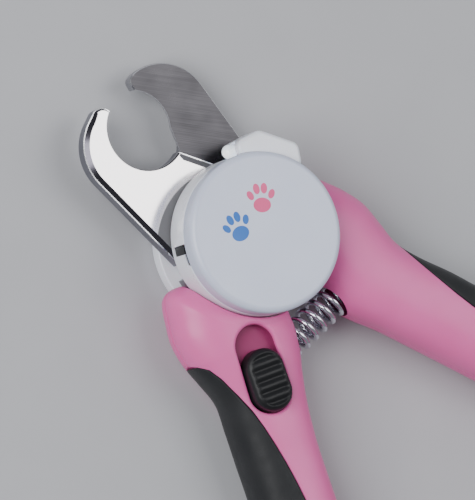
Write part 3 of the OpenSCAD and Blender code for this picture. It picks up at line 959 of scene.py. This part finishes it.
def bulge():
    """The lamp's housing with a soft upper edge."""
    outline = wrapped(BULGE_ROUNDS)
    n = len(outline)
    steps = [(BULGE_CHAMFER, BULGE_LOW), (0.0, BULGE_LOW + BULGE_CHAMFER), (0.0, BULGE_TOP - BULGE_EDGE)]
    steps += [(BULGE_EDGE * (1 - math.cos(a)), BULGE_TOP - BULGE_EDGE * (1 - math.sin(a)))
              for a in np.linspace(0, math.pi / 2, 8)[1:]]
    rings = [np.column_stack([inset(outline, np.full(n, inward)), np.full(n, z)]) for inward, z in steps]
    return solid(*sweep(rings, -1))


# Direction of the beam and the lamp's place and size
BEAM = math.radians(125.5)
LAMP_TIP = np.array([6.6, 17.4])
LAMP_Z = 15.6
LAMP_R = 1.5
LAMP_L = 5.3


def on_beam(back):
    """A point on the lamp's axis, so far behind its tip."""
    x, y = LAMP_TIP - back * np.array([math.cos(BEAM), math.sin(BEAM)])
    return (x, y, LAMP_Z)


# The window in the ring and the slot beside it, in degrees round the pivot
WINDOW = (146.5, 153.5)
SLOT = (153, 162.5)
RING_FLOOR = HOUSING_Z + 1.5
FLOOR_HOLE_R = 6.9


def housing():
    """The white ring with the lamp's housing, bored for the cell, the lamp and its window."""
    profile = (arc_points((HEAD_R - 0.5, HOUSING_Z + 0.5), 0.5, -90, 0)
               + arc_points((HEAD_R - 0.35, HOUSING_TOP - 0.35), 0.35, 0, 90)
               + [(CAVITY_R + 0.2, HOUSING_TOP), (CAVITY_R, HOUSING_TOP - 0.2), (CAVITY_R, RING_FLOOR),
                  (FLOOR_HOLE_R, RING_FLOOR), (FLOOR_HOLE_R, HOUSING_Z)])
    ring = spun("housing_ring", profile, None, "white_plastic", WHITE, steps=192)
    cut(ring, bulge(), operation="UNION")
    cut(ring, solid(*rod((0, 0, HOUSING_TOP - 0.001), (0, 0, CAP_TOP + 2), HEAD_R + 0.15, 192)))
    cut(ring, solid(*rod((0, 0, RING_FLOOR), (0, 0, CAP_TOP), CAVITY_R, 192)))
    cut(ring, solid(*rod(on_beam(LAMP_L + 1.5), on_beam(-9), LAMP_R + 0.35, 48)))
    cut(ring, solid(*rod(on_beam(2.6), on_beam(-9), LAMP_R + 0.9, 48)))
    for sector, low in ((WINDOW, HOUSING_Z + 0.65), (SLOT, HOUSING_TOP - 1.5)):
        cut(ring, solid(*prism(sector_outline(CAVITY_R - 1, HEAD_R + 1, *sector), low, HOUSING_TOP + 1)))
    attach(ring, "left_half")
    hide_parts("front_housing")


def window_pieces():
    """What shows through the ring's window: a black tab that is painted shade for the dark inside, and a
    strip of metal.
    """
    for name, inner, outer, start, end, low, high, material in (
            # The black tab is painted shade: it stands where the inside of the window is dark.
            ("window_shade_tab", CAVITY_R - 0.9, HEAD_R - 0.5, WINDOW[0] + 0.3, WINDOW[1] - 0.3,
             HOUSING_Z + 0.7, HOUSING_TOP - 1.7, HOLDER),
            ("holder_slot_strip", CAVITY_R - 0.2, HEAD_R - 0.35, SLOT[0] + 0.6, SLOT[1] - 0.7,
             HOUSING_TOP - 1.45, HOUSING_TOP - 1.0, SATIN)):
        points, faces = prism(sector_outline(inner, outer, start, end), low, high)
        make(name, points, faces, "left_half", "holder_plastic", [material])


housing()
window_pieces()

# The cap's face sits a little under its node's top, to leave room for the printed marks
FACE_Z = CAP_TOP - 0.04
CAP_EDGE_R = 1.35
CAP_LOW = HOUSING_TOP + 0.05
CAP_SKIRT_LOW = CAP_LOW - 1.4
CAP_SKIRT_OUT, CAP_SKIRT_IN = 14.3, 12.7
CAP_CEILING = CAP_TOP - 1.8
cap_profile = ([(0, FACE_Z)] + arc_points((HEAD_R - CAP_EDGE_R, FACE_Z - CAP_EDGE_R), CAP_EDGE_R, 90, 0, 13)
               + arc_points((HEAD_R - 0.25, CAP_LOW + 0.25), 0.25, 0, -90, 5)
               + [(CAP_SKIRT_OUT, CAP_LOW), (CAP_SKIRT_OUT, CAP_SKIRT_LOW), (CAP_SKIRT_IN, CAP_SKIRT_LOW),
                  (CAP_SKIRT_IN, CAP_CEILING), (0, CAP_CEILING)])
spun("cap_shell", cap_profile, "cap", "cap_plastic", CAP, ["battery_cap"], steps=192)

REAR_HOLLOW_R = 7.4
REAR_FLOOR = 1.4
rear_profile = ([(0, 0)] + arc_points((HEAD_R - 1, 1), 1, -90, 0, 9)
                + arc_points((HEAD_R - 0.3, REAR_TOP - 0.3), 0.3, 0, 90, 5)
                + [(REAR_HOLLOW_R, REAR_TOP), (REAR_HOLLOW_R, REAR_FLOOR), (0, REAR_FLOOR)])
spun("rear_disc", rear_profile, "right_half", "white_plastic", WHITE, ["rear_cover"], steps=192)


# ---- Printed paw marks on the cap ----

def oval(centre, rx, ry, turn, steps=40):
    """Plan outline of an oval turned about its own centre."""
    c, s = math.cos(turn), math.sin(turn)
    return [(centre[0] + rx * math.cos(a) * c - ry * math.sin(a) * s,
             centre[1] + rx * math.cos(a) * s + ry * math.sin(a) * c)
            for a in np.linspace(0, TAU, steps, endpoint=False)]


# Pads of a print of size 1: centre, half width, half length, turn
PADS = [((0, -0.28), 0.46, 0.36, 0), ((-0.56, 0.22), 0.16, 0.24, 0.5), ((-0.2, 0.52), 0.17, 0.26, 0.12),
        ((0.2, 0.52), 0.17, 0.26, -0.12), ((0.56, 0.22), 0.16, 0.24, -0.5)]
PAW_SIZE = 4.2
PRINT_TOP = CAP_TOP - 0.015
# In plan the picture's upright lies at about -42 degrees, and the prints lean 18 to its left
PRINT_TURN = math.radians(-42 + 18)


def paw(name, centre, turn, material):
    """A generic paw print: one wide pad and four toes."""
    points, faces = [], []
    c, s = math.cos(turn), math.sin(turn)
    for (x, y), rx, ry, pad_turn in PADS:
        place = (centre[0] + PAW_SIZE * (x * c - y * s), centre[1] + PAW_SIZE * (x * s + y * c))
        pad = oval(place, rx * PAW_SIZE, ry * PAW_SIZE, pad_turn + turn)
        pad_points, pad_faces = prism(pad, FACE_Z - 0.05, PRINT_TOP)
        faces += [tuple(i + len(points) for i in face) for face in pad_faces]
        points += pad_points
    make(name, points, faces, "cap", "cap_plastic", [material])


paw("paw_print_left", (-4.4, 4.6), PRINT_TURN + 0.15, INK_BLUE)
paw("paw_print_right", (3.6, 5.6), PRINT_TURN - 0.2, INK_PINK)


# ---- Lamp ----

# From the base up: radius beyond the body's, height. A flange, its rounded edge and a shallow waist.
LAMP_STEPS = [(0.28, 0), (0.32, 0.08), (0.32, 0.85), (0.26, 0.95), (0.04, 1.0), (0, 1.1), (-0.04, 2.6),
              (0, 2.75)]


def lamp():
    """The lamp's flanged body with its round end, lying along the beam."""
    shoulder = LAMP_L - LAMP_R
    profile = [(0, 0)] + [(LAMP_R + more, height) for more, height in LAMP_STEPS] + [(LAMP_R, shoulder)]
    profile += arc_points((0, shoulder), LAMP_R, 0, 90, 12)[1:]
    points, faces = lathe(profile, 64)
    turn = Matrix.Rotation(BEAM - math.pi / 2, 3, "Z") @ Matrix.Rotation(-math.pi / 2, 3, "X")
    base = Vector(on_beam(LAMP_L))
    points = [tuple(base + turn @ Vector(place)) for place in points]
    obj = make("lamp_dome", points, faces, "left_half", "lamp_epoxy", [LIT], ["led_lamp"])
    merge(obj)
    finish_mesh(obj, 35)


lamp()


# ---- Lock button ----

BUTTON_W, BUTTON_L = 8.4, 13.2
BUTTON_BASE, BUTTON_TOP = 13.75, 17.98
BUTTON_RIM = 1.5
RIB_PITCH, RIB_DEPTH = 2.35, 0.5
RIB_EDGE, RIB_FADE = 0.8, 0.5
STEM_HALF_W, STEM_HALF_L = 1.5, 2.5


def button_height(x, y, over):
    """Height of the button's face, where over is how far a place lies past the straight sides."""
    inside = max(BUTTON_W / 2 - math.hypot(x, over), 0)
    round_off = BUTTON_RIM - math.sqrt(max(BUTTON_RIM ** 2 - max(BUTTON_RIM - inside, 0) ** 2, 0))
    ribbed = min(max((inside - RIB_EDGE) / RIB_FADE, 0), 1)
    wave = 0.5 - 0.5 * math.cos(TAU * (y / RIB_PITCH + 0.5))
    return BUTTON_TOP - round_off - RIB_DEPTH * ribbed * wave ** 1.4


def lock_button():
    """Stadium button with a rounded rim and cross ribs: rows across it, each a closed loop."""
    radius = BUTTON_W / 2
    loops = []
    for along in np.linspace(-math.pi / 2 + 0.04, math.pi / 2 - 0.04, 130):
        y = BUTTON_L / 2 * math.sin(along)
        over = max(abs(y) - (BUTTON_L / 2 - radius), 0)
        half = math.sqrt(max(radius ** 2 - over ** 2, 0.0004))
        row = [half * math.sin(across) for across in np.linspace(-math.pi / 2, math.pi / 2, 30)]
        face = [(x, y, button_height(x, y, over)) for x in row]
        under = [(x, y, BUTTON_BASE) for x in row[::-1]]
        loops.append(np.array(face + under))
    points, faces = sweep_halves(loops)
    points = turned(points + np.array([BUTTON_X, BUTTON_Y, 0]), -SPLAY)
    make("lock_button_ribbed", points, faces, "lock_slider", "black_plastic", [BLACK], ["lock_button"], 50)
    points, faces = box_points(LOCK_X - STEM_HALF_W, LOCK_X + STEM_HALF_W, STEM_Y - STEM_HALF_L,
                               STEM_Y + STEM_HALF_L, BAR_Z + BAR_H, BUTTON_BASE + 0.3)
    make("lock_button_stem", points, faces, "lock_slider", "black_plastic", [BLACK])


lock_button()


# ---- Return spring ----

COIL_R = 3.7
WIRE_R = 0.58
TURNS = 8
TURN_STEPS = 40
WIRE_SIDES = 14


def spring():
    """The open coil, its ends in the handles' pockets."""
    radius = COIL_R - WIRE_R
    first = WIRE_R - COIL_HALF
    run = 2 * (COIL_HALF - WIRE_R)
    loops = []
    for i in range(TURNS * TURN_STEPS + 1):
        a = TAU * i / TURN_STEPS
        x = first + run * i / (TURNS * TURN_STEPS)
        loops.append(np.array([
            (x + WIRE_R * math.sin(b), COIL_Y + (radius + WIRE_R * math.cos(b)) * math.cos(a),
             SPLIT_Z + (radius + WIRE_R * math.cos(b)) * math.sin(a))
            for b in np.linspace(0, TAU, WIRE_SIDES, endpoint=False)]))
    obj = make("return_spring_coil", *sweep(loops, 1), None, "spring_wire", [WIRE], sharp=60)
    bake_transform(obj)
    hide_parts("return_spring")


spring()


# ---- Screws ----

SCREW_BACK = 1.8
SCREW_DOME = 0.5
SHANK_R = 1.2
SHANK_TOP = 13
CROSS_L, CROSS_W = 2.6, 0.5


def screws(side, mirrored, body):
    """Pan heads with a cross recess, sunk in the back of a handle."""
    profile = [(0, SCREW_BACK)]
    profile += [(SCREW_HEAD_R * math.sin(a), SCREW_BACK + SCREW_DOME * (1 - math.cos(a)))
                for a in np.linspace(0, math.pi / 2, 8)[1:]]
    profile += [(SCREW_HEAD_R, SCREW_SEAT), (SHANK_R, SCREW_SEAT), (SHANK_R, SHANK_TOP), (0, SHANK_TOP)]
    points, faces = lathe(profile, 48)
    for k, (x, y) in enumerate(SCREWS):
        px, py, _ = turned([(x, y, 0)], -SPLAY, mirrored)[0]
        points_here = points + np.array([px, py, 0])
        obj = make(f"{side}_screw_{k + 1}", points_here, faces, body, "steel_hardware", [TURNED])
        merge(obj)
        for length, width in ((CROSS_L, CROSS_W), (CROSS_W, CROSS_L)):
            slot = rectangle(px - length / 2, px + length / 2, py - width / 2, py + width / 2)
            cut(obj, solid(*prism(slot, SCREW_BACK - 0.3, SCREW_BACK + 0.7)))
        if k == 0:
            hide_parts(f"{side}_screws")


screws("left", False, "left_half")
screws("right", True, "right_half")


# ---- CAD nodes whose shape is right keep it and get a finished material ----

for names, material in (
        (("pivot_bolt", "pivot_washer", "pivot_nut", "lock_bar", "led_leads"), TURNED),
        (("coin_cell",), NICKEL),
        (("contact_clip", "contact_spring"), CONTACT),
        (("cell_holder",), HOLDER)):
    for name in names:
        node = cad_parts[name]
        node.data.materials.clear()
        node.data.materials.append(material)


# ---- Stage, light and camera ----

FLOOR_SIZE = 6
FLOOR_DROP = 0.0002
SKY_TINT = (0.93, 0.95, 1.0, 1)
SKY_STRENGTH = 0.26


def floor_material():
    """Pale paper with a barely visible cloud in its grey."""
    material, tree, shader = new_material("floor_paper")
    grain = spread(tree, noise(tree, coordinates(tree), 60, 4), 0, 1)
    tree.links.new(mix_colour(tree, grain, (0.47, 0.475, 0.50), (0.455, 0.46, 0.485)),
              shader.inputs["Base Color"])
    shader.inputs["Roughness"].default_value = 0.7
    return material


bpy.ops.mesh.primitive_plane_add(size=FLOOR_SIZE, location=(0, 0, -FLOOR_DROP))
ground = bpy.context.object
ground.name = "floor"
ground.data.materials.append(floor_material())

world = bpy.data.worlds.new("studio")
bpy.context.scene.world = world
world.use_nodes = True
sky = world.node_tree.nodes["Background"]
sky.inputs["Color"].default_value = SKY_TINT
sky.inputs["Strength"].default_value = SKY_STRENGTH


def soft_box(name, place, power, size):
    """A square lamp in metres and watts, aimed at the tool."""
    light = bpy.data.lights.new(name, "AREA")
    light.energy = power
    light.size = size
    obj = bpy.data.objects.new(name, light)
    bpy.context.scene.collection.objects.link(obj)
    obj.location = place
    obj.rotation_mode = "QUATERNION"
    obj.rotation_quaternion = (Vector((0, 0, 0.01)) - Vector(place)).to_track_quat("-Z", "Y")


soft_box("key", (-0.5, 0.42, 0.62), 8.0, 0.6)
soft_box("fill", (0.6, -0.25, 0.5), 0.8, 0.5)
soft_box("mirror", (0.28, -0.12, 0.69), 1.9, 0.42)

# The camera looks down, tilted to one side and rolled. Its scale holds at the height REFERENCE_Z.
TILT = math.radians(24)
ROLL = math.radians(18)
POINTS_PER_MM = 4.93
IMAGE_H = 500
REFERENCE_Z = 21.3
# Where the picture's middle lies from the pivot axis at that height, in millimetres
SHIFT_RIGHT, SHIFT_UP = -5.74, -3.67
DISTANCE = 1.2
SENSOR = 36.0

level_right = np.array([math.cos(-TILT), math.sin(-TILT), 0])
level_up = np.array([-math.sin(-TILT), math.cos(-TILT), 0])
upright = np.array([0, 0, 1.0])
tilted_right = level_right * math.cos(TILT) + upright * math.sin(TILT)
view_right = math.cos(ROLL) * tilted_right - math.sin(ROLL) * level_up
view_up = math.sin(ROLL) * tilted_right + math.cos(ROLL) * level_up
to_camera = upright * math.cos(TILT) - level_right * math.sin(TILT)
target = np.array([0, 0, REFERENCE_Z]) + SHIFT_RIGHT * view_right + SHIFT_UP * view_up

camera_data = bpy.data.cameras.new("camera")
camera_data.sensor_width = SENSOR
camera_data.lens = SENSOR * DISTANCE / (IMAGE_H / POINTS_PER_MM * MM)
camera = bpy.data.objects.new("camera", camera_data)
bpy.context.scene.collection.objects.link(camera)
facing = Matrix((view_right, view_up, to_camera)).transposed().to_4x4()
camera.matrix_world = Matrix.Translation(Vector(target * MM + to_camera * DISTANCE)) @ facing
bpy.context.scene.camera = camera

bpy.context.view_layer.update()
